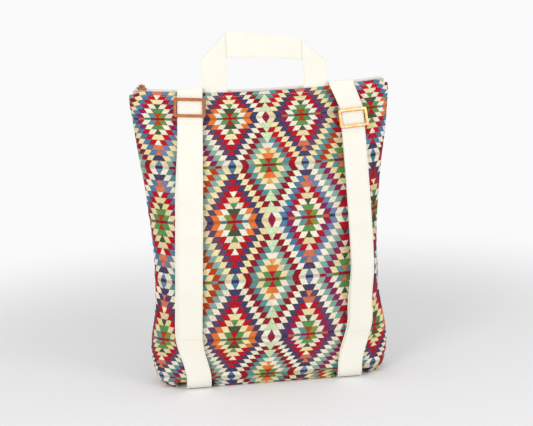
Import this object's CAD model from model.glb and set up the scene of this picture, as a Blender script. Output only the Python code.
"""Looks of a tote backpack: tapestry bag with a zip mouth, cotton webbing and copper fittings.

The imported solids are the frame. The soft pieces are made here, in metres, on the surfaces of
the solids that they stand for, and the metal and the zip keep their solids.
"""

import math

import bmesh
import bpy
from mathutils import Matrix, Vector, noise
from mathutils.bvhtree import BVHTree


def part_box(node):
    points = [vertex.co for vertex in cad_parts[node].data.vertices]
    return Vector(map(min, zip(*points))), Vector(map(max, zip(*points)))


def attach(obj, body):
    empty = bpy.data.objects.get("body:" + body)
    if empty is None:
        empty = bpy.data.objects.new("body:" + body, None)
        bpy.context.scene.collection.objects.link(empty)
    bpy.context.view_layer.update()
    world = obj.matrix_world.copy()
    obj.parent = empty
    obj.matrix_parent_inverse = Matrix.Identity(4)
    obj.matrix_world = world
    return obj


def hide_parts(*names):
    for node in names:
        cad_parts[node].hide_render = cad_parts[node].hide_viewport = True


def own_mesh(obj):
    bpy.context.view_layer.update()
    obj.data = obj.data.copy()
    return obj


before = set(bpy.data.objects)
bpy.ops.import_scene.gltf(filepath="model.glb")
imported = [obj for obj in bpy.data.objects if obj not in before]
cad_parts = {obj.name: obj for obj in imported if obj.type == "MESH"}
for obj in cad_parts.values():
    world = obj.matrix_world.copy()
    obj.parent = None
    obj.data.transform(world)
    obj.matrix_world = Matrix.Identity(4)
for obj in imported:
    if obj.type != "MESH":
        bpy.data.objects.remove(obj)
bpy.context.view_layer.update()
MM = 0.001

# Driving sizes, shared with the solids except where a comment says otherwise
BAG_HEIGHT = 384 * MM
CORNER_RISE = 9 * MM
TOP_HALF_WIDTH = 167 * MM
WEBBING_WIDTH = 32 * MM
WEBBING_THICKNESS = 1.5 * MM
LAYER_GAP = 0.5 * MM
SEAM_GAP = 0.3 * MM
HARNESS_SHIFT = 6.5 * MM
STRAP_SPACING = 195 * MM
STRAP_FRONT_DEPTH = 46 * MM
STRAP_TOP_DEPTH = 16 * MM
BELT_HEIGHT = 160 * MM
STRAP_TURN_RADIUS = 16 * MM
STRAP_BASE_REACH = 100 * MM
RING_REACH = 15 * MM
RING_WIRE = 2.6 * MM
SLIDE_HEIGHT = 24.5 * MM
HANDLE_SPACING = 130 * MM
HANDLE_HEIGHT = 74.5 * MM       # a little lower than the solid, and more askew
HANDLE_DROP = 15 * MM
TUCK_LENGTH = 10 * MM
# Each strap: its slide's height and place aside, its lean, its turn outwards, and below bend its
# lean towards the ring. The slack webbing drifts aside a little under the belly.
STRAPS = {
    "left": dict(side=-1, slide=368 * MM, reach=92.5 * MM, slant=math.radians(3.2),
                 yaw=math.radians(8), bend=75 * MM, drift=0.0),
    "right": dict(side=1, slide=345 * MM, reach=115.5 * MM, slant=math.radians(1.6),
                  yaw=math.radians(15), bend=90 * MM, drift=-6 * MM),
}


# Small helpers

def colour(code):
    """A linear colour from its sRGB hex value."""
    parts = [int(code[i:i + 2], 16) / 255 for i in (1, 3, 5)]
    return [c / 12.92 if c <= 0.04045 else ((c + 0.055) / 1.055) ** 2.4 for c in parts] + [1.0]


def smoothstep(value, low, high):
    t = min(max((value - low) / (high - low), 0.0), 1.0)
    return t * t * (3 - 2 * t)


def mix(a, b, share):
    return a + (b - a) * share


def new_object(name, bm):
    """Turns a bmesh into a smooth-shaded object at the origin."""
    mesh = bpy.data.meshes.new(name)
    bm.to_mesh(mesh)
    bm.free()
    mesh.polygons.foreach_set("use_smooth", [True] * len(mesh.polygons))
    piece = bpy.data.objects.new(name, mesh)
    bpy.context.scene.collection.objects.link(piece)
    return piece


def thicken(piece, thickness, offset=-1.0):
    wall = piece.modifiers.new("Thickness", "SOLIDIFY")
    wall.thickness = thickness
    wall.offset = offset
    wall.use_even_offset = False


def soften(piece, width, segments=2):
    edge = piece.modifiers.new("Edges", "BEVEL")
    edge.width = width
    edge.segments = segments
    edge.limit_method = "ANGLE"
    edge.angle_limit = math.radians(40)


def add(tree, kind, *inputs, named=None, **settings):
    """Adds a node. Inputs go to its sockets in order: a node, a socket, a value, or None to skip."""
    node = tree.nodes.new("ShaderNode" + kind)
    for key, value in settings.items():
        setattr(node, key, value)
    places = list(enumerate(inputs)) + list((named or {}).items())
    for place, value in places:
        if value is None:
            continue
        if isinstance(value, bpy.types.Node):
            value = value.outputs[0]
        if isinstance(value, bpy.types.NodeSocket):
            tree.links.new(value, node.inputs[place])
        else:
            node.inputs[place].default_value = value
    return node


def new_material(name):
    """An empty material and its node tree."""
    material = bpy.data.materials.new(name)
    material.use_nodes = True
    material.node_tree.nodes.clear()
    return material, material.node_tree


def stops(tree, factor, colours):
    """Even steps of plain colour, one for each whole number of the factor."""
    ramp = add(tree, "ValToRGB", factor)
    ramp.color_ramp.interpolation = "CONSTANT"
    elements = ramp.color_ramp.elements
    elements.remove(elements[1])
    for i, code in enumerate(colours):
        place = i / len(colours)
        element = elements[0] if i == 0 else elements.new(place)
        element.position = place
        element.color = colour(code)
    return ramp


def rib_scale(spacing):
    """The wave scale for ribs of this real spacing, drawn twice as coarse so that they show."""
    return math.pi / spacing / 20


def dress(piece, material):
    piece.data.materials.clear()
    piece.data.materials.append(material)


# Materials

CREAM, PALE, RED, DARK_RED, RUST = "#EFDFB0", "#F3ECD6", "#BA1E30", "#8E1F2E", "#B84A33"
ORANGE, SALMON, GOLD = "#E5875A", "#D9826A", "#E3A06E"
NAVY, PLUM, BLUE, SKY = "#423F62", "#5C4766", "#557F9F", "#7288A8"
TEAL, MIST, GREEN, OLIVE, DARK_OLIVE = "#5F9194", "#86A89F", "#5F8F58", "#7F8F4C", "#474E38"
MAGENTA, MINT = "#8C2F5C", "#D6E5BF"

COLUMN = 48.5 * MM          # from a big medallion's axis to the small one's beside it
HALF_REPEAT = 76.5 * MM     # from a row of big medallions to the row of small ones
TILE = COLUMN / 5.65
ROW_BAR = 1.9 * MM          # half height of the thin bar through a medallion
ROWS = 9
THREAD_STEP = 1.5 * MM      # spread of the steps that the threads make in a tile's edge
TILE_SHIFT = 0.9            # where the first tile beside an axis starts, in tiles
ROW = (HALF_REPEAT - 2 * ROW_BAR) / ROWS
BANDS = 11
# The bands of colour outwards from a big medallion: first and second choice in each kind of strip
BAND_COLOURS = (
    [RED, GREEN, CREAM, RED, NAVY, PALE, RED, TEAL, CREAM, GREEN, RED],
    [RUST, TEAL, PALE, RED, BLUE, CREAM, DARK_RED, MIST, PALE, OLIVE, DARK_RED],
    [RED, GREEN, CREAM, RED, PLUM, PALE, TEAL, RUST, CREAM, TEAL, ORANGE],
    [RED, OLIVE, PALE, RED, SKY, CREAM, MIST, MAGENTA, PALE, GREEN, RUST])


def tapestry_material():
    """Jacquard-woven cotton tapestry: matt, slightly fuzzy, with a kilim pattern of stepped
    lozenges whose tiles are slanted, and fine ribs of thread inside every tile."""
    material, tree = new_material("jacquard_tapestry")
    cloth = add(tree, "UVMap", uv_map="cloth")
    # The tiles' edges step from thread to thread, so they aren't quite straight
    threads = add(tree, "TexNoise", cloth, named={"Scale": 620.0, "Detail": 1.0})
    step = add(tree, "VectorMath", threads.outputs["Color"], (0.5, 0.5, 0.5), operation="SUBTRACT")
    stepped = add(tree, "VectorMath", step, (THREAD_STEP,) * 3, cloth, operation="MULTIPLY_ADD")
    place = add(tree, "SeparateXYZ", stepped)
    across, along = place.outputs[0], place.outputs[1]
    from_axis = add(tree, "Math", across, COLUMN, operation="ADD")
    side = add(tree, "Math", from_axis, COLUMN, operation="PINGPONG")
    rise = add(tree, "Math", along, HALF_REPEAT, operation="PINGPONG")

    # Which medallion, and which kind of strip between two of them
    repeats = add(tree, "Math", from_axis, 2 * COLUMN, operation="DIVIDE")
    column = add(tree, "Math", repeats, operation="ROUND")
    strip = add(tree, "Math", repeats, operation="FLOOR")
    row = add(tree, "Math", add(tree, "Math", along, 2 * HALF_REPEAT, operation="DIVIDE"),
              operation="ROUND")
    odd_column = add(tree, "Math", add(tree, "Math", column, 2.0, operation="FLOORED_MODULO"), 0.5,
                     operation="GREATER_THAN")
    odd_strip = add(tree, "Math", add(tree, "Math", strip, 2.0, operation="FLOORED_MODULO"), 0.5,
                    operation="GREATER_THAN")

    # The tile's row, and the place within it
    lifted = add(tree, "Math", add(tree, "Math", rise, ROW_BAR, operation="SUBTRACT"), ROW,
                 operation="DIVIDE")
    level = add(tree, "Clamp", lifted, 0.0, ROWS - 0.001)
    tier = add(tree, "Math", level, operation="FLOOR")
    within = add(tree, "Math", level, tier, operation="SUBTRACT")
    odd_tier = add(tree, "Math", tier, 2.0, operation="MODULO")
    lean = add(tree, "Math", odd_tier, within, operation="ADD")
    tiles = add(tree, "Math", side, TILE, operation="DIVIDE")
    leaned = add(tree, "Math", lean, -0.5, tiles, operation="MULTIPLY_ADD")
    shifted = add(tree, "Math", leaned, TILE_SHIFT, operation="ADD")
    count = add(tree, "Math", shifted, operation="FLOOR")
    tile = add(tree, "Math", count, 0.0, operation="MAXIMUM")
    half_tier = add(tree, "Math", add(tree, "Math", tier, 1.0, operation="ADD"), 0.5,
                    operation="MULTIPLY")
    band = add(tree, "Math", add(tree, "Math", half_tier, operation="FLOOR"), tile, operation="ADD")

    # The band's colour: two kinds of strip, each with a second choice taken here and there
    band_place = add(tree, "Math", add(tree, "Math", band, 0.5, operation="ADD"), BANDS,
                     operation="DIVIDE")
    first_p, other_p, first_q, other_q = (stops(tree, band_place, colours) for colours in BAND_COLOURS)
    key = add(tree, "CombineXYZ", column, row, band)
    chance = add(tree, "TexWhiteNoise", key, noise_dimensions="3D")
    swap = add(tree, "Math", chance, 0.62, operation="GREATER_THAN")
    strip_p = add(tree, "MixRGB", swap, first_p, other_p)
    strip_q = add(tree, "MixRGB", swap, first_q, other_q)
    general = add(tree, "MixRGB", odd_strip, strip_p, strip_q)

    # Next to the big medallions' row the red band turns orange or magenta
    near_row = add(tree, "Math", tier, 1.5, operation="LESS_THAN")
    third_band = add(tree, "Math", band, 3.0, 0.4, operation="COMPARE")
    near_third = add(tree, "Math", near_row, third_band, operation="MULTIPLY")
    accent = add(tree, "MixRGB", odd_column, colour(ORANGE), colour(MAGENTA))
    general = add(tree, "MixRGB", near_third, general, accent)

    # The columns of tiles on the axes of the big and of the small medallions
    tier_place = add(tree, "Math", add(tree, "Math", tier, 0.5, operation="ADD"), ROWS,
                     operation="DIVIDE")
    big_a = stops(tree, tier_place, [RED, DARK_OLIVE, GREEN, CREAM, PALE, RED, RED, NAVY, BLUE])
    big_b = stops(tree, tier_place, [RUST, GREEN, DARK_OLIVE, CREAM, PALE, SALMON, SALMON, NAVY, SKY])
    big = add(tree, "MixRGB", odd_column, big_a, big_b)
    small_p = stops(tree, tier_place, [MAGENTA, MINT, MINT, MINT, MINT, PALE, GOLD, ORANGE, RED])
    small_q = stops(tree, tier_place,
                    [TEAL, RED, DARK_RED, RED, PALE, CREAM, DARK_OLIVE, GREEN, ORANGE])
    small = add(tree, "MixRGB", odd_strip, small_p, small_q)
    on_big = add(tree, "Math", tile, 0.5, operation="LESS_THAN")
    small_count = add(tree, "Math", tile, odd_tier, operation="ADD")
    on_small = add(tree, "Math", small_count, 5.5, operation="GREATER_THAN")
    figure = add(tree, "MixRGB", on_big, general, big)
    figure = add(tree, "MixRGB", on_small, figure, small)

    # Thin bars: chevrons run through them, and a dash of colour crosses the pale bands
    bar = stops(tree, band_place, [RED, RED, TEAL, ORANGE, NAVY, PALE, RED, MIST, OLIVE, RED, RED])
    low_bar = add(tree, "Math", rise, ROW_BAR, operation="LESS_THAN")
    high_bar = add(tree, "Math", rise, HALF_REPEAT - ROW_BAR, operation="GREATER_THAN")
    in_bar = add(tree, "Math", low_bar, high_bar, operation="MAXIMUM")
    figure = add(tree, "MixRGB", in_bar, figure, bar)

    # Thread: ribs of weft, with the uneven tone of dyed yarn
    tone = add(tree, "TexNoise", cloth, named={"Scale": 900.0, "Detail": 2.0, "Roughness": 0.7})
    medallion = add(tree, "Math", column, 7.0, row, operation="MULTIPLY_ADD")
    patch = add(tree, "TexWhiteNoise", add(tree, "CombineXYZ", tile, tier, medallion),
                noise_dimensions="3D")
    ribs = add(tree, "TexWave", cloth, named={"Scale": rib_scale(0.9 * MM), "Distortion": 2.2,
               "Detail": 1.0, "Detail Scale": 3.0}, bands_direction="Y")
    mottle = add(tree, "TexNoise", cloth, named={"Scale": 380.0, "Detail": 3.0, "Roughness": 0.75})
    shade = add(tree, "Math", add(tree, "MapRange", tone, 0.25, 0.75, 0.76, 1.18),
                add(tree, "MapRange", mottle, 0.3, 0.7, 0.80, 1.20), operation="MULTIPLY")
    age = add(tree, "MapRange", patch, 0.0, 1.0, 0.90, 1.08)
    grain = add(tree, "MapRange", ribs, 0.0, 1.0, 0.86, 1.08)
    value = add(tree, "Math", add(tree, "Math", shade, age, operation="MULTIPLY"), grain,
                operation="MULTIPLY")
    # A tile's outline is darker, where the weave changes from one thread to the next
    tile_part = add(tree, "Math", shifted, operation="FRACT")
    beside = add(tree, "Math", tile_part, 0.5, operation="SUBTRACT")
    above = add(tree, "Math", within, 0.5, operation="SUBTRACT")
    rim = add(tree, "Math", add(tree, "Math", beside, operation="ABSOLUTE"),
              add(tree, "Math", above, operation="ABSOLUTE"), operation="MAXIMUM")
    outline = add(tree, "MapRange", rim, 0.42, 0.5, 1.0, 0.70)
    value = add(tree, "Math", value, outline, operation="MULTIPLY")
    # Threads of other colours float through each tile
    floats = add(tree, "TexNoise", cloth, named={"Scale": 1300.0, "Detail": 1.0})
    crossing = add(tree, "MapRange", floats, 0.58, 0.66, 0.0, 0.30)
    flecked = add(tree, "MixRGB", crossing, figure, colour("#B9AE93"))
    woven = add(tree, "HueSaturation", 0.5, 1.1, value, 1.0, flecked)
    warp = add(tree, "TexWave", cloth, named={"Scale": rib_scale(1.1 * MM), "Distortion": 1.5,
               "Detail": 1.0}, bands_direction="X")
    height = add(tree, "Math", ribs, warp, operation="MULTIPLY")
    height = add(tree, "Math", height, 0.6, tone, operation="MULTIPLY_ADD")
    bump = add(tree, "Bump", named={"Strength": 0.35, "Distance": 0.35 * MM, "Height": height})
    surface = add(tree, "BsdfPrincipled", named={
        "Base Color": woven, "Roughness": 0.92, "Normal": bump, "Sheen Weight": 0.06,
        "Sheen Roughness": 0.5, "Specular IOR Level": 0.15})
    add(tree, "OutputMaterial", surface)
    return material


SELVEDGE = 14.2 * MM        # from the webbing's middle to its plain edge


def webbing_material():
    """Cream cotton webbing, woven in a steep twill with a plain selvedge: matt and soft."""
    material, tree = new_material("cotton_webbing")
    cloth = add(tree, "UVMap", uv_map="cloth")
    place = add(tree, "SeparateXYZ", cloth)
    slant = add(tree, "Mapping", cloth, (0, 0, 0), (0, 0, math.radians(32)), (1, 1, 1))
    twill = add(tree, "TexWave", slant, named={"Scale": rib_scale(1.5 * MM), "Distortion": 0.6,
                "Detail": 1.0, "Detail Scale": 4.0}, bands_direction="Y")
    weft = add(tree, "TexWave", cloth, named={"Scale": rib_scale(0.9 * MM), "Distortion": 0.8},
               bands_direction="Y")
    fuzz = add(tree, "TexNoise", cloth, named={"Scale": 700.0, "Detail": 3.0, "Roughness": 0.65})
    from_middle = add(tree, "Math", place.outputs[0], operation="ABSOLUTE")
    selvedge = add(tree, "MapRange", from_middle, SELVEDGE - 0.1 * MM, SELVEDGE + 0.3 * MM, 0.0, 1.0)
    ridge = add(tree, "Math", from_middle, SELVEDGE, 0.5 * MM, operation="COMPARE")
    weave = add(tree, "MixRGB", selvedge, twill, weft)
    soil = add(tree, "TexNoise", cloth, named={"Scale": 22.0, "Detail": 3.0})
    tint = add(tree, "MixRGB", add(tree, "MapRange", soil, 0.35, 0.75, 0.0, 0.6),
               colour("#F8F5EA"), colour("#F3EDDA"))
    shade = add(tree, "MapRange", weave, 0.0, 1.0, 0.965, 1.01)
    tone = add(tree, "MapRange", fuzz, 0.3, 0.7, 0.975, 1.015)
    value = add(tree, "Math", shade, tone, operation="MULTIPLY")
    value = add(tree, "Math", value, add(tree, "MapRange", ridge, 0.0, 1.0, 1.0, 0.95),
                operation="MULTIPLY")
    woven = add(tree, "HueSaturation", 0.5, 1.0, value, 1.0, tint)
    height = add(tree, "Math", weave, 0.8, fuzz, operation="MULTIPLY_ADD")
    bump = add(tree, "Bump", named={"Strength": 0.25, "Distance": 0.25 * MM, "Height": height})
    surface = add(tree, "BsdfPrincipled", named={
        "Base Color": woven, "Roughness": 0.88, "Normal": bump, "Sheen Weight": 0.2,
        "Sheen Roughness": 0.5, "Specular IOR Level": 0.25})
    add(tree, "OutputMaterial", surface)
    return material


def copper_material():
    """Copper-plated zinc, polished and lacquered: warm, with faint hazing and soft wear."""
    material, tree = new_material("copper_plate")
    place = add(tree, "TexCoord").outputs["Object"]
    haze = add(tree, "TexNoise", place, named={"Scale": 240.0, "Detail": 4.0, "Roughness": 0.6})
    stain = add(tree, "TexNoise", place, named={"Scale": 60.0, "Detail": 2.0})
    tint = add(tree, "MixRGB", add(tree, "MapRange", stain, 0.35, 0.7, 0.0, 1.0),
               colour("#D38A5C"), colour("#BB7149"))
    gloss = add(tree, "MapRange", haze, 0.3, 0.7, 0.20, 0.34)
    bump = add(tree, "Bump", named={"Strength": 0.08, "Distance": 0.1 * MM, "Height": haze})
    surface = add(tree, "BsdfPrincipled", named={
        "Base Color": tint, "Metallic": 1.0, "Roughness": gloss, "Normal": bump})
    add(tree, "OutputMaterial", surface)
    return material


def zip_tape_material():
    """Woven polyester zip tape: off-white, fine ribs across its length."""
    material, tree = new_material("zip_tape_weave")
    place = add(tree, "TexCoord").outputs["Object"]
    ribs = add(tree, "TexWave", place, named={"Scale": rib_scale(1.0 * MM), "Distortion": 0.6},
               bands_direction="X")
    fuzz = add(tree, "TexNoise", place, named={"Scale": 800.0, "Detail": 2.0})
    shade = add(tree, "MapRange", ribs, 0.0, 1.0, 0.88, 1.04)
    woven = add(tree, "HueSaturation", 0.5, 1.0, shade, 1.0, colour("#F3F1EC"))
    height = add(tree, "Math", ribs, 0.7, fuzz, operation="MULTIPLY_ADD")
    bump = add(tree, "Bump", named={"Strength": 0.4, "Distance": 0.2 * MM, "Height": height})
    surface = add(tree, "BsdfPrincipled", named={
        "Base Color": woven, "Roughness": 0.75, "Normal": bump, "Sheen Weight": 0.1})
    add(tree, "OutputMaterial", surface)
    return material


def zip_teeth_material():
    """Moulded acetal teeth: off-white, satin, with the faint mottle of moulded plastic."""
    material, tree = new_material("moulded_teeth")
    place = add(tree, "TexCoord").outputs["Object"]
    mottle = add(tree, "TexNoise", place, named={"Scale": 400.0, "Detail": 3.0})
    shade = add(tree, "MapRange", mottle, 0.3, 0.7, 0.93, 1.03)
    tint = add(tree, "HueSaturation", 0.5, 1.0, shade, 1.0, colour("#EDEBE6"))
    gloss = add(tree, "MapRange", mottle, 0.3, 0.7, 0.36, 0.5)
    bump = add(tree, "Bump", named={"Strength": 0.1, "Distance": 0.1 * MM, "Height": mottle})
    surface = add(tree, "BsdfPrincipled", named={
        "Base Color": tint, "Roughness": gloss, "Normal": bump, "IOR": 1.48})
    add(tree, "OutputMaterial", surface)
    return material


def lining_material():
    """Plain-woven unbleached cotton for the lining."""
    material, tree = new_material("lining_calico")
    place = add(tree, "TexCoord").outputs["Object"]
    warp = add(tree, "TexWave", place, named={"Scale": rib_scale(0.8 * MM), "Distortion": 1.0},
               bands_direction="X")
    weft = add(tree, "TexWave", place, named={"Scale": rib_scale(0.8 * MM), "Distortion": 1.0},
               bands_direction="Z")
    weave = add(tree, "Math", warp, weft, operation="MULTIPLY")
    shade = add(tree, "MapRange", weave, 0.0, 1.0, 0.9, 1.04)
    woven = add(tree, "HueSaturation", 0.5, 1.0, shade, 1.0, colour("#D9CFB8"))
    bump = add(tree, "Bump", named={"Strength": 0.3, "Distance": 0.2 * MM, "Height": weave})
    surface = add(tree, "BsdfPrincipled", named={
        "Base Color": woven, "Roughness": 0.9, "Normal": bump, "Sheen Weight": 0.1})
    add(tree, "OutputMaterial", surface)
    return material


def thread_material():
    """Twisted polyester sewing thread in cream."""
    material, tree = new_material("sewing_thread")
    place = add(tree, "TexCoord").outputs["Object"]
    twist = add(tree, "TexNoise", place, named={"Scale": 1500.0, "Detail": 1.0})
    shade = add(tree, "MapRange", twist, 0.3, 0.7, 0.88, 1.04)
    tint = add(tree, "HueSaturation", 0.5, 1.0, shade, 1.0, colour("#DDD3B6"))
    bump = add(tree, "Bump", named={"Strength": 0.3, "Distance": 0.1 * MM, "Height": twist})
    surface = add(tree, "BsdfPrincipled", named={
        "Base Color": tint, "Roughness": 0.6, "Normal": bump, "Sheen Weight": 0.1})
    add(tree, "OutputMaterial", surface)
    return material


# The bag: each panel is one piece of cloth from the base seam to the mouth

class PanelForm:
    """Reads the outer surface of a panel's solid."""

    def __init__(self, node, side):
        bm = bmesh.new()
        bm.from_mesh(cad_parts[node].data)
        bmesh.ops.remove_doubles(bm, verts=bm.verts, dist=1e-6)
        self.tree = BVHTree.FromBMesh(bm)
        bm.free()
        self.side = side

    def reach(self, z):
        """The seam's distance from the middle at a height."""
        hit = self.tree.ray_cast(Vector((0.4, self.side * 0.4 * MM, z)), Vector((-1, 0, 0)))[0]
        return hit.x

    def depth(self, x, z):
        """How far the panel stands out at a place."""
        hit = self.tree.ray_cast(Vector((x, self.side * 0.4, z)), Vector((0, -self.side, 0)))[0]
        return abs(hit.y) if hit else None


PANEL_ACROSS = 96
PANEL_UP = 116
BASE_ROWS = 9               # from the base seam to the panel's foot
BASE_HALF = 27 * MM
SMOOTH_ROWS = 5             # the pattern's measure is evened out over this many rows
FLOOR_SKIN = 1.0 * MM
MOUTH_SKIN = 0.4 * MM
LOWEST_READING = 2.5 * MM   # the solid is read no lower, and no nearer to its edges
MOUTH_MARGIN = 1.2 * MM
SEAM_MARGIN = 0.2 * MM
CORNER_ROUND = 24 * MM      # the cloth's top corners are rounded off over this length
CORNER_FALL = 6.5 * MM
BASE_FLARE = 6.5 * MM       # the base corners stand out this much further than the solids'
FLARE_FROM, FLARE_TO = 40 * MM, 120 * MM
PUCKER_PITCH = 13 * MM      # folds gathered by the side seams
PUCKER_REACH = 16 * MM
PUCKER_DEPTH = 2.2 * MM


def mouth_rise(x):
    return CORNER_RISE * min(abs(x) / TOP_HALF_WIDTH, 1) ** 2


def between(stations, value):
    """Straight steps through stations of (value, result), drawn on past both ends."""
    for (a, low), (b, high) in zip(stations, stations[1:]):
        if value <= b or b == stations[-1][0]:
            return low + (high - low) * (value - a) / (b - a)


# How the pattern hangs on the slack cloth: the height of each row of it, counted in half repeats
# from a row of big medallions, and the sideways drift of its axes
ROW_LEVELS = [(15, -3), (65.5, -2), (144, -1), (221.5, 0), (291, 1), (335, 1.72), (350, 2)]
AXIS_DRIFT = [(15, -9.5), (64, -3.0), (144, 1.4), (222, 4.2), (355, 4.6)]
AXIS_SPREAD = [(222, 1.0), (350, 1.05)]     # the cloth is drawn together near the mouth


def panel_levels():
    """Heights of the rows, close together at the round hem."""
    rows = []
    for j in range(PANEL_UP + 1):
        t = j / PANEL_UP
        rows.append(mix(FLOOR_SKIN, BAG_HEIGHT - MOUTH_SKIN, t ** 1.25 * 0.75 + t * 0.25))
    return rows


def make_panel(form):
    """A panel as a grid of cloth, with its own measure across and along as a UV map."""
    side = form.side
    levels = panel_levels()
    bm = bmesh.new()
    bmesh.ops.create_grid(bm, x_segments=PANEL_ACROSS, y_segments=PANEL_UP + BASE_ROWS, size=1.0)
    rows = PANEL_UP + BASE_ROWS
    table = {}
    for v in bm.verts:
        i = round((v.co.x + 1) / 2 * PANEL_ACROSS)
        j = round((v.co.y + 1) / 2 * rows)
        table[i, j] = v
    # Columns, close together at the side seams
    hem = [math.sin((i / PANEL_ACROSS * 2 - 1) * math.pi / 2) for i in range(PANEL_ACROSS + 1)]
    for j in range(rows + 1):
        base = j < BASE_ROWS
        level = levels[max(j - BASE_ROWS, 0)]
        reach = form.reach(max(level, 2 * MM))
        wider = 1 + BASE_FLARE / reach * (1 - smoothstep(level, FLARE_FROM, FLARE_TO))
        for i in range(PANEL_ACROSS + 1):
            x = hem[i] * reach
            z = level + mouth_rise(x) * (level / BAG_HEIGHT) ** 3
            read_z = min(max(z, LOWEST_READING), BAG_HEIGHT + mouth_rise(x) - MOUTH_MARGIN)
            read_x = min(max(x, -reach + SEAM_MARGIN), reach - SEAM_MARGIN)
            depth = form.depth(read_x, read_z) or 0
            if i in (0, PANEL_ACROSS):
                depth = 0
            if base:
                depth = depth * j / BASE_ROWS
            corner = smoothstep(abs(x), reach - CORNER_ROUND, reach) ** 1.6
            z -= corner * CORNER_FALL * smoothstep(level, BAG_HEIGHT - 2 * CORNER_ROUND, BAG_HEIGHT)
            table[i, j].co = Vector((x * wider, side * depth, z))
    # Measure of the cloth, in metres of its pattern: across from the small medallions' axis, and
    # along from a row of big ones
    middle = PANEL_ACROSS // 2
    measure = bm.loops.layers.uv.new("cloth")
    across = {}
    for j in range(rows + 1):
        across[middle, j] = 0.0
        for step in (1, -1):
            length = 0.0
            i = middle + step
            while 0 <= i <= PANEL_ACROSS:
                length += (table[i, j].co - table[i - step, j].co).length
                across[i, j] = step * length
                i += step
    flat = {}
    for (i, j), v in table.items():
        lowest = BASE_ROWS + SMOOTH_ROWS
        near = range(max(j - SMOOTH_ROWS, lowest), max(j, lowest) + SMOOTH_ROWS + 1)
        wide = [across[i, min(k, rows)] for k in near]
        level = levels[max(j - BASE_ROWS, 0)] - max(BASE_ROWS - j, 0) / BASE_ROWS * BASE_HALF
        drift = between(AXIS_DRIFT, level / MM) * MM
        spread = max(between(AXIS_SPREAD, level / MM), 1.0)
        flat[v] = (-side * sum(wide) / len(wide) * spread - drift,
                   between(ROW_LEVELS, level / MM) * HALF_REPEAT)
    for face in bm.faces:
        for loop in face.loops:
            loop[measure].uv = flat[loop.vert]
    if side > 0:
        bmesh.ops.reverse_faces(bm, faces=bm.faces)
    return bm, table


def pucker(table, side):
    """Folds that the side seams gather. The seams' own edges move alike on both panels."""
    for j in range(BASE_ROWS, PANEL_UP + BASE_ROWS):
        for i in range(PANEL_ACROSS + 1):
            v = table[i, j]
            end = table[0 if i < PANEL_ACROSS / 2 else PANEL_ACROSS, j].co
            away = abs(abs(v.co.x) - abs(end.x))
            height = v.co.z
            seam = math.copysign(5, end.x)      # each seam's own place in the noise
            fade = smoothstep(BAG_HEIGHT - height, 0, 30 * MM) * smoothstep(height, 5 * MM, 40 * MM)
            drift = noise.noise(Vector((seam, 3.1, height * 14)))
            wave = 0.5 + 0.5 * math.sin(2 * math.pi * (height / PUCKER_PITCH + drift * 1.6))
            uneven = noise.noise(Vector((seam, 9.7, height * 26)))
            fold = wave * max(0.5 + 1.2 * uneven, 0.0) * math.exp(-(away / PUCKER_REACH) ** 2)
            forward = 0.0 if i in (0, PANEL_ACROSS) else side * 0.9
            out = Vector((math.copysign(1, v.co.x), forward, 0)).normalized()
            v.co += out * fold * fade * PUCKER_DEPTH


CLOTH_THICKNESS = 1.4 * MM
WELD = 0.05 * MM            # the panels' edges are joined where they are this close


def bag_body(cloth):
    """Both panels sewn at the sides and under the base, then swelled by what is inside."""
    whole = bmesh.new()
    temp = bpy.data.meshes.new("panel")
    for node, side in (("front_panel", -1), ("back_panel", 1)):
        bm, table = make_panel(PanelForm(node, side))
        pucker(table, side)
        bm.to_mesh(temp)
        bm.free()
        whole.from_mesh(temp)
    bmesh.ops.remove_doubles(whole, verts=whole.verts, dist=WELD)
    body = new_object("tapestry_body", whole)
    swell(body)
    dress(body, cloth)
    thicken(body, CLOTH_THICKNESS)
    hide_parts("front_panel", "back_panel")
    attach(body, "bag")
    return body


SWELL_CAP = 4.0 * MM        # the furthest that a point may move
SWELL_FRAMES = 18
STRAP_HOLD = (17 * MM, 26 * MM)     # the cloth is held still this near to a strap's middle line


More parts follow.
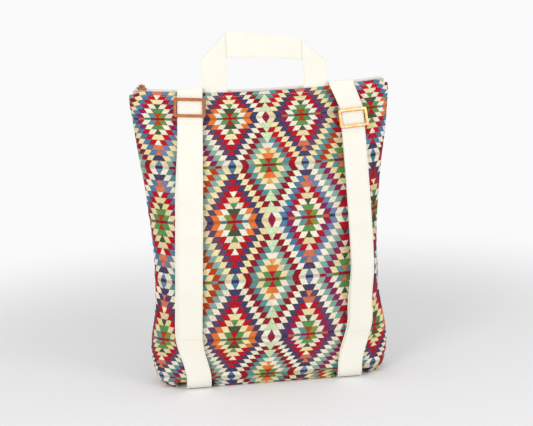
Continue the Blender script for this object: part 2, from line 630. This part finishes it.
def swell(body):
    """Cloth under light pressure from inside, held at the mouth, the base and the straps."""
    rest = [v.co.copy() for v in body.data.vertices]
    held = body.vertex_groups.new(name="held")
    gather = body.vertex_groups.new(name="gather")
    for v in body.data.vertices:
        p = v.co
        mouth = smoothstep(p.z, BAG_HEIGHT - 22 * MM, BAG_HEIGHT - 6 * MM)
        base = 1 - smoothstep(p.z, 3 * MM, 20 * MM)
        strap = 0.0
        if p.y < 0:
            for s in STRAPS.values():
                gap = abs(p.x - s["side"] * strap_reach(s, p.z))
                strap = max(strap, 1 - smoothstep(gap, *STRAP_HOLD))
        held.add([v.index], max(mouth, base, strap), "REPLACE")
        seam = math.exp(-(abs(p.y) / (14 * MM)) ** 2) * smoothstep(p.z, 20 * MM, 60 * MM)
        gather.add([v.index], seam, "REPLACE")
    bpy.context.view_layer.objects.active = body
    cloth = body.modifiers.new("Cloth", "CLOTH")
    settings = cloth.settings
    settings.quality = 5
    settings.mass = 0.3
    settings.tension_stiffness = 20
    settings.compression_stiffness = 20
    settings.shear_stiffness = 8
    settings.bending_stiffness = 0.4
    settings.vertex_group_mass = "held"
    settings.pin_stiffness = 1.0
    settings.vertex_group_shrink = "gather"
    settings.shrink_min = 0.0
    settings.shrink_max = 0.05
    settings.use_pressure = True
    settings.uniform_pressure_force = 2.5
    settings.effector_weights.gravity = 0
    scene = bpy.context.scene
    scene.frame_start = 1
    scene.frame_end = SWELL_FRAMES
    for step in range(1, SWELL_FRAMES + 1):
        scene.frame_set(step)
    graph = bpy.context.evaluated_depsgraph_get()
    shaped = [v.co.copy() for v in body.evaluated_get(graph).data.vertices]
    body.modifiers.remove(cloth)
    scene.frame_set(1)
    for v, start, end in zip(body.data.vertices, rest, shaped):
        move = end - start
        length = move.length
        if length > 1e-7:
            v.co = start + move * (SWELL_CAP * math.tanh(length / SWELL_CAP) / length)
    body.vertex_groups.clear()


# Webbing: a ribbon along stations, each with its place, its direction across and its turn

def strap_depth(z):
    """The strap's middle plane seen from the side: a long arc down to the belt, then straight."""
    if z <= BELT_HEIGHT:
        return STRAP_FRONT_DEPTH
    drop = STRAP_FRONT_DEPTH - STRAP_TOP_DEPTH
    run = BAG_HEIGHT - BELT_HEIGHT
    radius = (drop ** 2 + run ** 2) / (2 * drop)
    return STRAP_FRONT_DEPTH - radius + math.sqrt(radius ** 2 - (z - BELT_HEIGHT) ** 2)


def strap_reach(strap, z):
    """The sideways place of a strap's middle at a height."""
    seam = STRAP_SPACING / 2 + strap["side"] * HARNESS_SHIFT
    straight = strap["reach"] + (strap["slide"] - z) * math.tan(strap["slant"])
    upper = mix(straight, seam, smoothstep(z, strap["slide"] + SLIDE_HEIGHT / 2, BAG_HEIGHT))
    upper += strap["drift"] * (1 - smoothstep(z, 95 * MM, BELT_HEIGHT))
    return mix(upper, STRAP_BASE_REACH, 1 - smoothstep(z, STRAP_TURN_RADIUS, strap["bend"]))


def ribbon(name, stations, width, material, thickness=WEBBING_THICKNESS, columns=10):
    """Webbing through stations of (middle, across), with its measure as a UV map."""
    bm = bmesh.new()
    last = len(stations) - 1
    bmesh.ops.create_grid(bm, x_segments=columns, y_segments=last, size=1.0)
    lengths = [0.0]
    for (a, _), (b, _) in zip(stations, stations[1:]):
        lengths.append(lengths[-1] + (b - a).length)
    measure = bm.loops.layers.uv.new("cloth")
    uv = {}
    for v in bm.verts:
        j = round((v.co.y + 1) / 2 * last)
        aside = v.co.x * width / 2
        middle, across = stations[j]
        v.co = middle + across * aside
        uv[v] = (aside, lengths[j])
    for face in bm.faces:
        for loop in face.loops:
            loop[measure].uv = uv[loop.vert]
    piece = new_object(name, bm)
    thicken(piece, thickness, 0.0)
    soften(piece, 0.45 * MM)
    dress(piece, material)
    return piece


LAYER = WEBBING_THICKNESS + LAYER_GAP
FLOOR_GAP = 0.2 * MM
UNDER = FLOOR_GAP + WEBBING_THICKNESS / 2
RING_LEVEL = FLOOR_GAP + WEBBING_THICKNESS + SEAM_GAP + RING_WIRE / 2
OVER = RING_LEVEL + RING_WIRE / 2 + SEAM_GAP + WEBBING_THICKNESS / 2
TWIST_TOP = BELT_HEIGHT - SLIDE_HEIGHT
RUN_STEPS = 110             # stations down a strap's front
RETURN_STEPS = 90


def arc(centre_y, centre_z, radius, start, end, count):
    """Points (y, z) round a centre, from one angle to another in degrees."""
    points = []
    for k in range(1, count + 1):
        turn = math.radians(mix(start, end, k / count))
        points.append((centre_y + radius * math.cos(turn), centre_z + radius * math.sin(turn)))
    return points


def strap_station(strap, y, z, turned=1.0, aside=0.0):
    """A station of a strap: turned outwards with the bag's side, except at its ends."""
    flat = smoothstep(z, STRAP_TURN_RADIUS, TWIST_TOP)
    yaw = strap["side"] * strap["yaw"] * turned * flat
    tilt = strap["side"] * strap["slant"] * turned * flat
    level = min(max(z, 0), BAG_HEIGHT)
    behind = y + strap_depth(level)
    x = strap["side"] * strap_reach(strap, level) - behind * math.sin(yaw) + aside
    middle = Vector((x, y - behind * (1 - math.cos(yaw)), z))
    return middle, Vector((math.cos(yaw), math.sin(yaw), math.sin(tilt)))


def strap_route(strap):
    """Places (y, z, turned) from the tuck behind the top seam to the ring under the base."""
    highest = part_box("strap_left" if strap["side"] < 0 else "strap_right")[1]
    tuck = highest.y - WEBBING_THICKNESS / 2
    front = -strap_depth(BAG_HEIGHT)
    seam_top = BAG_HEIGHT + mouth_rise(strap_reach(strap, BAG_HEIGHT)) + 0.4 * MM
    fold = (tuck - front) / 2
    route = [(tuck, mix(seam_top - TUCK_LENGTH, seam_top, k / 6), 0.0) for k in range(7)]
    route += [(y, z, 0.0) for y, z in arc(tuck - fold, seam_top, fold, 0, 180, 12)]
    top = strap["slide"] + SLIDE_HEIGHT / 2
    for k in range(RUN_STEPS + 1):
        z = mix(top, UNDER + STRAP_TURN_RADIUS, k / RUN_STEPS)
        route.append((-strap_depth(z), z, 1.0))
    turn_y = -STRAP_FRONT_DEPTH + STRAP_TURN_RADIUS
    turn_z = UNDER + STRAP_TURN_RADIUS
    route += [(y, z, 1.0) for y, z in arc(turn_y, turn_z, STRAP_TURN_RADIUS, 180, 270, 16)]
    route += [(mix(turn_y, -RING_REACH, k / 6), UNDER, 1.0) for k in range(1, 7)]
    wrap = (OVER - UNDER) / 2
    route += [(y, z, 1.0) for y, z in arc(-RING_REACH, RING_LEVEL, wrap, -90, 90, 10)]
    route.append((-RING_REACH - 2 * MM, OVER, 1.0))
    return route


RETURN_TURN = STRAP_TURN_RADIUS - LAYER - 3 * MM
RETURN_PEEP = 3.6 * MM      # the layer behind shows this far past the left strap's left edge,
RIGHT_PEEP = 2 * MM         # and this far past the right strap's, near its foot


def return_peep(strap, z):
    """How far aside the layer behind lies at a height."""
    if strap["side"] > 0:
        return -RIGHT_PEEP * smoothstep(z, 0.02, 0.05) * (1 - smoothstep(z, 0.08, 0.2))
    top = strap["slide"]
    return -RETURN_PEEP * smoothstep(z, 0.03, 0.09) * (1 - smoothstep(z, top - 0.12, top - 0.02))


def return_route(strap):
    """Places (y, z) of the layer behind: from the ring up to the slide's middle bar."""
    rise = -(STRAP_FRONT_DEPTH - LAYER)
    route = [(mix(-RING_REACH - 2.3 * MM, rise + RETURN_TURN, k / 5), OVER) for k in range(6)]
    route += arc(rise + RETURN_TURN, OVER + RETURN_TURN, RETURN_TURN, 270, 180, 12)
    start = OVER + RETURN_TURN
    end = strap["slide"] - 4 * MM
    for k in range(1, RETURN_STEPS + 1):
        z = mix(start, end, k / RETURN_STEPS)
        route.append((-strap_depth(z) + LAYER, z))
    return route


def straps(material):
    for name, strap in STRAPS.items():
        stations = [strap_station(strap, y, z, turned) for y, z, turned in strap_route(strap)]
        front = ribbon(f"webbing_strap_{name}", stations, WEBBING_WIDTH, material)
        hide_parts(f"strap_{name}")
        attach(front, "bag")
        stations = [strap_station(strap, y, z, 1.0, return_peep(strap, z))
                    for y, z in return_route(strap)]
        back = ribbon(f"webbing_return_{name}", stations, WEBBING_WIDTH, material)
        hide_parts(f"strap_return_{name}")
        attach(back, "bag")
        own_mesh(back)


def ring_tabs(material):
    """A short webbing loop holds each ring to the base seam."""
    for name, strap in STRAPS.items():
        middle_x = strap["side"] * STRAP_BASE_REACH
        lowest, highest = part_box(f"ring_tab_{name}")
        wrap = (OVER - UNDER) / 2
        rear = lowest.y + WEBBING_THICKNESS / 2 + wrap
        places = [(mix(highest.y, rear, k / 6), UNDER) for k in range(7)]
        places += arc(rear, RING_LEVEL, wrap, 270, 90, 12)
        places += [(mix(rear, highest.y, k / 6), OVER) for k in range(1, 7)]
        stations = [(Vector((middle_x, y, z)), Vector((1, 0, 0))) for y, z in places]
        tab = ribbon(f"webbing_tab_{name}", stations, WEBBING_WIDTH, material)
        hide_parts(f"ring_tab_{name}")
        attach(tab, "bag")


STITCH_PITCH = 3.4 * MM
STITCH_LENGTH = 2.5 * MM
STITCH_THREAD = 0.5 * MM
MOUTH_SEAM_HALF = 152 * MM
MOUTH_SEAM_DROP = 6 * MM
MOUTH_SEAM_STEPS = 110
STRAP_SEAMS = {"left": 71 * MM, "right": 66 * MM}       # heights of the rows across the straps
STRAP_SEAM_HALF = 13.5 * MM


def stitches(name, rows, material):
    """Sewn rows: each is a run of places (point, outward), stitched at an even pitch."""
    bm = bmesh.new()
    for row in rows:
        run = 0.0
        due = STITCH_PITCH / 2
        for (a, out), (b, _) in zip(row, row[1:]):
            span = (b - a).length
            along = (b - a).normalized()
            while due <= run + span:
                middle = a + along * (due - run) + out * STITCH_THREAD * 0.2
                turn = Matrix((along, out.cross(along).normalized(), out)).transposed().to_4x4()
                size = Matrix.Diagonal((STITCH_LENGTH, STITCH_THREAD, STITCH_THREAD, 1))
                bmesh.ops.create_icosphere(bm, subdivisions=1, radius=0.5,
                                           matrix=Matrix.Translation(middle) @ turn @ size)
                due += STITCH_PITCH
            run += span
    piece = new_object(name, bm)
    dress(piece, material)
    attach(piece, "bag")
    return piece


def seams(thread, body):
    """Topstitching under the mouth on both panels, and a row across each strap near the base."""
    bm = bmesh.new()
    bm.from_mesh(body.data)
    tree = BVHTree.FromBMesh(bm)
    bm.free()
    rows = []
    for side in (-1, 1):
        row = []
        for k in range(MOUTH_SEAM_STEPS + 1):
            x = mix(-MOUTH_SEAM_HALF, MOUTH_SEAM_HALF, k / MOUTH_SEAM_STEPS)
            z = BAG_HEIGHT + mouth_rise(x) - MOUTH_SEAM_DROP
            hit, normal = tree.ray_cast(Vector((x, side * 0.3, z)), Vector((0, -side, 0)))[:2]
            if hit:
                row.append((hit, Vector((0, side, 0))))
        rows.append(row)
    stitches("seam_mouth", rows, thread)
    across = []
    for name, z in STRAP_SEAMS.items():
        middle, wide = strap_station(STRAPS[name], -strap_depth(z), z)
        out = Vector((wide.y, -wide.x, 0)).normalized()
        face = middle + out * WEBBING_THICKNESS / 2
        across.append([(face + wide * mix(-STRAP_SEAM_HALF, STRAP_SEAM_HALF, k / 8), out)
                       for k in range(9)])
    stitches("seam_straps", across, thread)


def fold_over(x, z, depth, corner_x, corner_z, lean, radius):
    """Folds flat webbing over a 45 degree line through a corner. Past the line the webbing
    comes back reflected, one layer further behind."""
    past = ((z - corner_z) - lean * (x - corner_x)) / math.sqrt(2)
    if past <= -radius:
        return x, z, depth
    normal = Vector((-lean, 1)) / math.sqrt(2)
    foot = Vector((x, z)) - normal * past
    quarter = radius * math.pi
    roll = min(past + radius, quarter)
    out = radius * math.sin(roll / radius) - radius
    back = radius * (1 - math.cos(roll / radius))
    extra = max(past + radius - quarter, 0.0)
    folded = foot + normal * (out - extra)
    return folded.x, folded.y, depth + back


def handle(material):
    """One flat webbing, folded over at both upper corners, its right half sagging."""
    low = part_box("handle")[0]
    left_x = -HANDLE_SPACING / 2 + HARNESS_SHIFT
    right_x = HANDLE_SPACING / 2 + HARNESS_SHIFT
    half = WEBBING_WIDTH / 2
    radius = (WEBBING_THICKNESS + SEAM_GAP) / 2
    leg_y = low.y + WEBBING_THICKNESS * 0.5
    start_z = BAG_HEIGHT + mouth_rise(left_x) - TUCK_LENGTH
    top_z = BAG_HEIGHT + HANDLE_HEIGHT
    span = HANDLE_SPACING
    total = 2 * (top_z - half - start_z) + span
    bm = bmesh.new()
    bmesh.ops.create_grid(bm, x_segments=12, y_segments=260, size=1.0)
    measure = bm.loops.layers.uv.new("cloth")
    uv = {}
    for v in bm.verts:
        aside = v.co.x * half
        run = (v.co.y + 1) / 2 * total
        uv[v] = (aside, run)
        x, z, y = fold_over(left_x + aside, start_z + run, 0.0, left_x, top_z - half, 1, radius)
        x, z, back = fold_over(x, z, 0.0, right_x, top_z - half, -1, radius)
        v.co = Vector((x, leg_y + y - back, z))
    for face in bm.faces:
        for loop in face.loops:
            loop[measure].uv = uv[loop.vert]
    # The sag, from nothing a quarter along to all of it at the right corner
    for v in bm.verts:
        share = min(max((v.co.x - left_x) / span, 0), 1.15)
        height = min(max((v.co.z - BAG_HEIGHT) / HANDLE_HEIGHT, 0), 1)
        v.co.z -= HANDLE_DROP * max((share - 0.25) / 0.75, 0) ** 1.4 * height
    piece = new_object("webbing_handle", bm)
    thicken(piece, WEBBING_THICKNESS, 0.0)
    soften(piece, 0.4 * MM)
    dress(piece, material)
    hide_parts("handle")
    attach(piece, "bag")


# Solids that keep their shape

def finish_solids(copper, tape, teeth, calico):
    for name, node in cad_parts.items():
        if name.startswith(("slide_", "ring_left", "ring_right", "zip_slider", "zip_pull")):
            dress(node, copper)
        elif name.startswith("zip_tape"):
            dress(node, tape)
        elif name.startswith("zip_teeth"):
            dress(node, teeth)
        elif name == "lining":
            dress(node, calico)


# Floor, light and camera

WHITE = "#FAFAFB"
FLOOR_FADE = (0.35, 0.95)       # the floor goes over to white between these distances


def studio():
    scene = bpy.context.scene
    scene.view_settings.view_transform = "Standard"
    bm = bmesh.new()
    bmesh.ops.create_grid(bm, x_segments=4, y_segments=4, size=4.0)
    floor = new_object("paper_floor", bm)
    # Matt paper that is lit to plain white away from the bag
    material, tree = new_material("matt_backdrop_paper")
    place = add(tree, "TexCoord").outputs["Object"]
    fibre = add(tree, "TexNoise", place, named={"Scale": 300.0, "Detail": 2.0})
    tint = add(tree, "MixRGB", add(tree, "MapRange", fibre, 0.3, 0.7, 0.0, 1.0),
               colour("#F7F7F8"), colour("#F4F4F6"))
    paper = add(tree, "BsdfPrincipled", named={
        "Base Color": tint, "Roughness": 0.9, "Specular IOR Level": 0.1})
    lit = add(tree, "Emission", colour(WHITE), 1.0)
    distance = add(tree, "VectorMath", place, operation="LENGTH").outputs["Value"]
    away = add(tree, "MapRange", distance, *FLOOR_FADE, 0.0, 1.0, interpolation_type="SMOOTHSTEP")
    path = add(tree, "LightPath")
    seen = add(tree, "Math", path.outputs["Is Camera Ray"], path.outputs["Is Glossy Ray"],
               operation="MAXIMUM")
    seen = add(tree, "Math", seen, path.outputs["Is Transmission Ray"], operation="MAXIMUM")
    shown = add(tree, "Math", away, seen, operation="MULTIPLY")
    add(tree, "OutputMaterial", add(tree, "MixShader", shown, paper, lit))
    dress(floor, material)

    world = bpy.data.worlds.new("studio")
    scene.world = world
    world.use_nodes = True
    tree = world.node_tree
    tree.nodes.clear()
    path = add(tree, "LightPath")
    seen = add(tree, "Math", path.outputs["Is Camera Ray"], path.outputs["Is Transmission Ray"],
               operation="MAXIMUM")
    soft = add(tree, "Background", (1, 1, 1, 1), 0.62)
    white = add(tree, "Background", colour(WHITE), 1.0)
    shown = add(tree, "MixShader", seen, soft, white)
    add(tree, "OutputWorld", shown)

    for name, place, energy, size in (
            ("key", (-1.0, -1.3, 0.9), 8.0, 0.6),
            ("fill", (1.1, -1.2, 0.8), 5.7, 0.6),
            ("top", (0.0, -0.3, 1.5), 2.6, 1.0)):
        data = bpy.data.lights.new(name, "AREA")
        data.energy = energy
        data.size = size
        lamp = bpy.data.objects.new(name, data)
        lamp.location = place
        aim = Vector((0, 0, 0.2)) - Vector(place)
        lamp.rotation_euler = aim.to_track_quat("-Z", "Y").to_euler()
        scene.collection.objects.link(lamp)


IMAGE_WIDTH, IMAGE_HEIGHT = 533, 426
CAMERA_AZIMUTH, CAMERA_ELEVATION, CAMERA_ROLL = -6.5, 12.0, -2.3
CAMERA_DISTANCE = 1.6
CAMERA_LENS = 81.9
AIM = Vector((0.0, 0.0, 0.2))
AIM_PIXEL = (265.5, 229.7)      # where the aim shows in the photograph


def camera():
    data = bpy.data.cameras.new("photograph")
    data.lens = CAMERA_LENS
    data.sensor_width = 36.0
    eye = bpy.data.objects.new("photograph", data)
    azimuth, elevation = math.radians(CAMERA_AZIMUTH), math.radians(CAMERA_ELEVATION)
    back = Vector((math.sin(azimuth) * math.cos(elevation), -math.cos(azimuth) * math.cos(elevation),
                   math.sin(elevation)))
    eye.location = AIM + back * CAMERA_DISTANCE
    turn = (-back).to_track_quat("-Z", "Y")
    roll = Matrix.Rotation(math.radians(CAMERA_ROLL), 3, "Z").to_quaternion()
    eye.rotation_mode = "QUATERNION"
    eye.rotation_quaternion = turn @ roll
    data.shift_x = -(AIM_PIXEL[0] - IMAGE_WIDTH / 2) / IMAGE_WIDTH
    data.shift_y = (AIM_PIXEL[1] - IMAGE_HEIGHT / 2) / IMAGE_WIDTH
    bpy.context.scene.collection.objects.link(eye)
    bpy.context.scene.camera = eye


camera()
studio()
tapestry = tapestry_material()
webbing = webbing_material()
bag = bag_body(tapestry)
straps(webbing)
seams(thread_material(), bag)
ring_tabs(webbing)
handle(webbing)
finish_solids(copper_material(), zip_tape_material(), zip_teeth_material(), lining_material())
